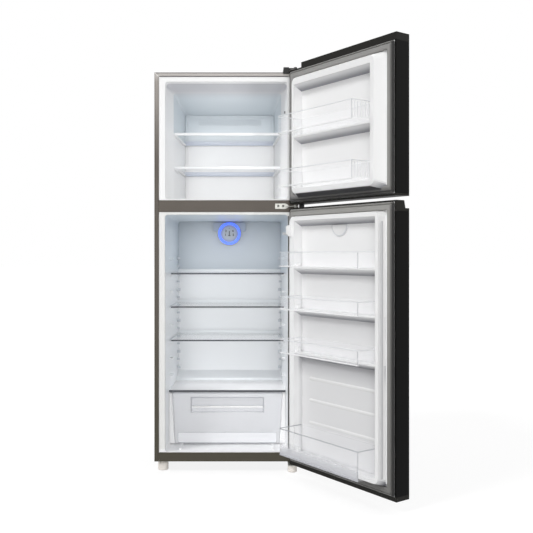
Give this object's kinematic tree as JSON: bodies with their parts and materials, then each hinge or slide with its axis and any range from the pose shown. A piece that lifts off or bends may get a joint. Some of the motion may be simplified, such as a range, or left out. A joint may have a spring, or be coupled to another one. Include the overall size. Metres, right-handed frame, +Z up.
{
  "type": "top freezer refrigerator",
  "caption": "Upright household refrigerator with a freezer above, both hinged doors open, glass shelves, crisper drawer and clear door bins.",
  "frame": {"origin": "bottom centre of the bounding box with both doors open", "axes": "+Z up, +Y from the open front to the back panel, +X towards the hinge side"},
  "size_m": [0.9608, 1.0976, 1.684],
  "materials": {
    "cabinet_steel": "satin grey",
    "plain_steel": "matt",
    "door_skin": "satin black",
    "door_cap": "matt black",
    "foam": "raw foam",
    "gasket": "soft grey",
    "clear_plastic": "clear",
    "glass": "polished edge",
    "liner": "fine satin",
    "fan_plastic": "satin",
    "hinge_steel": "zinc",
    "fins": "bare",
    "heater": "bare",
    "copper": "bare copper",
    "compressor_paint": "gloss black",
    "foot": "cream",
    "roller": "matt",
    "light_ring": "lit blue",
    "dial": "satin",
    "black_plastic": "matt"
  },
  "bodies": {
    "cabinet": {"cabinet_shell": "cabinet_steel", "mullion_rail": "cabinet_steel", "base_rail": "cabinet_steel", "base_pan": "plain_steel", "rear_panel": "plain_steel", "compressor_cover": "black_plastic", "power_inlet": "black_plastic", "freezer_liner": "liner", "fridge_liner": "liner", "cabinet_foam": "foam", "crisper_cover": "glass", "evaporator_cover": "liner", "evaporator": "fins", "defrost_heater": "heater", "fan_motor": "black_plastic", "drain_tube": "black_plastic", "compressor": "compressor_paint", "drip_tray": "black_plastic", "filter_drier": "copper", "discharge_pipe": "copper", "air_duct": "liner", "light_ring": "light_ring", "door_switch": "liner", "freezer_sensor": "black_plastic", "top_hinge": "hinge_steel", "top_hinge_cover": "black_plastic", "middle_hinge": "hinge_steel", "bottom_hinge": "hinge_steel"},
    "freezer_door": {"freezer_door_skin": "door_skin", "freezer_door_top_cap": "door_cap", "freezer_door_bottom_cap": "door_cap", "freezer_door_foam": "foam", "freezer_door_liner": "liner", "freezer_door_gasket": "gasket"},
    "fridge_door": {"fridge_door_skin": "door_skin", "fridge_door_top_cap": "door_cap", "fridge_door_bottom_cap": "door_cap", "fridge_door_foam": "foam", "fridge_door_liner": "liner", "fridge_door_gasket": "gasket", "deodoriser_cover": "liner"},
    "freezer_shelf_1": {"freezer_shelf_1": "glass"},
    "freezer_shelf_2": {"freezer_shelf_2": "glass"},
    "fridge_shelf_1": {"fridge_shelf_1": "glass"},
    "fridge_shelf_2": {"fridge_shelf_2": "glass"},
    "fridge_shelf_3": {"fridge_shelf_3": "glass"},
    "freezer_bin_1": {"freezer_bin_1": "clear_plastic"},
    "freezer_bin_2": {"freezer_bin_2": "clear_plastic"},
    "fridge_bin_1": {"fridge_bin_1": "clear_plastic"},
    "fridge_bin_2": {"fridge_bin_2": "clear_plastic"},
    "fridge_bin_3": {"fridge_bin_3": "clear_plastic"},
    "fridge_bin_4": {"fridge_bin_4": "clear_plastic"},
    "crisper_drawer": {"crisper_drawer": "clear_plastic"},
    "fan_blade": {"fan_blade": "fan_plastic"},
    "rear_roller_left": {"rear_roller_left": "roller"},
    "rear_roller_right": {"rear_roller_right": "roller"},
    "front_foot_left": {"front_foot_left": "foot"},
    "front_foot_right": {"front_foot_right": "foot"},
    "control_dial": {"control_dial": "dial"},
    "switch_plunger": {"switch_plunger": "black_plastic"}
  },
  "joints": [
    {"name": "freezer_door_hinge", "type": "hinge", "parent": "cabinet", "child": "freezer_door", "pos_m": [0.10558, -0.04786, 1.4], "axis": [0, 0, 1], "range_deg": [-125.5, 5]},
    {"name": "fridge_door_hinge", "type": "hinge", "parent": "cabinet", "child": "fridge_door", "pos_m": [0.10558, -0.04786, 0.57], "axis": [0, 0, 1], "range_deg": [-125.5, 5]},
    {"name": "freezer_shelf_1_slide", "type": "slide", "parent": "cabinet", "child": "freezer_shelf_1", "axis": [0, -1, 0], "range_m": [0, 0.2]},
    {"name": "freezer_shelf_2_slide", "type": "slide", "parent": "cabinet", "child": "freezer_shelf_2", "axis": [0, -1, 0], "range_m": [0, 0.2]},
    {"name": "fridge_shelf_1_slide", "type": "slide", "parent": "cabinet", "child": "fridge_shelf_1", "axis": [0, -1, 0], "range_m": [0, 0.2]},
    {"name": "fridge_shelf_2_slide", "type": "slide", "parent": "cabinet", "child": "fridge_shelf_2", "axis": [0, -1, 0], "range_m": [0, 0.2]},
    {"name": "fridge_shelf_3_slide", "type": "slide", "parent": "cabinet", "child": "fridge_shelf_3", "axis": [0, -1, 0], "range_m": [0, 0.2]},
    {"name": "crisper_slide", "type": "slide", "parent": "cabinet", "child": "crisper_drawer", "axis": [0, -1, 0], "range_m": [0, 0.2]},
    {"name": "freezer_bin_1_lift", "type": "slide", "parent": "freezer_door", "child": "freezer_bin_1", "axis": [0, 0, 1], "range_m": [0, 0.03]},
    {"name": "freezer_bin_2_lift", "type": "slide", "parent": "freezer_door", "child": "freezer_bin_2", "axis": [0, 0, 1], "range_m": [0, 0.03]},
    {"name": "fridge_bin_1_lift", "type": "slide", "parent": "fridge_door", "child": "fridge_bin_1", "axis": [0, 0, 1], "range_m": [0, 0.03]},
    {"name": "fridge_bin_2_lift", "type": "slide", "parent": "fridge_door", "child": "fridge_bin_2", "axis": [0, 0, 1], "range_m": [0, 0.03]},
    {"name": "fridge_bin_3_lift", "type": "slide", "parent": "fridge_door", "child": "fridge_bin_3", "axis": [0, 0, 1], "range_m": [0, 0.03]},
    {"name": "fridge_bin_4_lift", "type": "slide", "parent": "fridge_door", "child": "fridge_bin_4", "axis": [0, 0, 1], "range_m": [0, 0.03]},
    {"name": "fan_spin", "type": "hinge", "parent": "cabinet", "child": "fan_blade", "pos_m": [-0.18042, 0.47614, 1.488], "axis": [0, 1, 0], "continuous": true},
    {"name": "rear_roller_left_spin", "type": "hinge", "parent": "cabinet", "child": "rear_roller_left", "pos_m": [-0.42042, 0.50514, 0.018], "axis": [1, 0, 0], "continuous": true},
    {"name": "rear_roller_right_spin", "type": "hinge", "parent": "cabinet", "child": "rear_roller_right", "pos_m": [0.05958, 0.50514, 0.018], "axis": [1, 0, 0], "continuous": true},
    {"name": "front_foot_left_turn", "type": "hinge", "parent": "cabinet", "child": "front_foot_left", "pos_m": [-0.44742, 0.02414, 0.02], "axis": [0, 0, 1], "continuous": true},
    {"name": "front_foot_right_turn", "type": "hinge", "parent": "cabinet", "child": "front_foot_right", "pos_m": [0.09458, -0.00986, 0.02], "axis": [0, 0, 1], "continuous": true},
    {"name": "control_dial_turn", "type": "hinge", "parent": "cabinet", "child": "control_dial", "pos_m": [-0.18042, 0.43014, 1.005], "axis": [0, 1, 0], "range_deg": [-135, 135]},
    {"name": "switch_plunger_press", "type": "slide", "parent": "cabinet", "child": "switch_plunger", "axis": [0, 1, 0], "range_m": [0, 0.006], "stiffness_N_per_m": 150, "springref_m": -0.003}
  ]
}
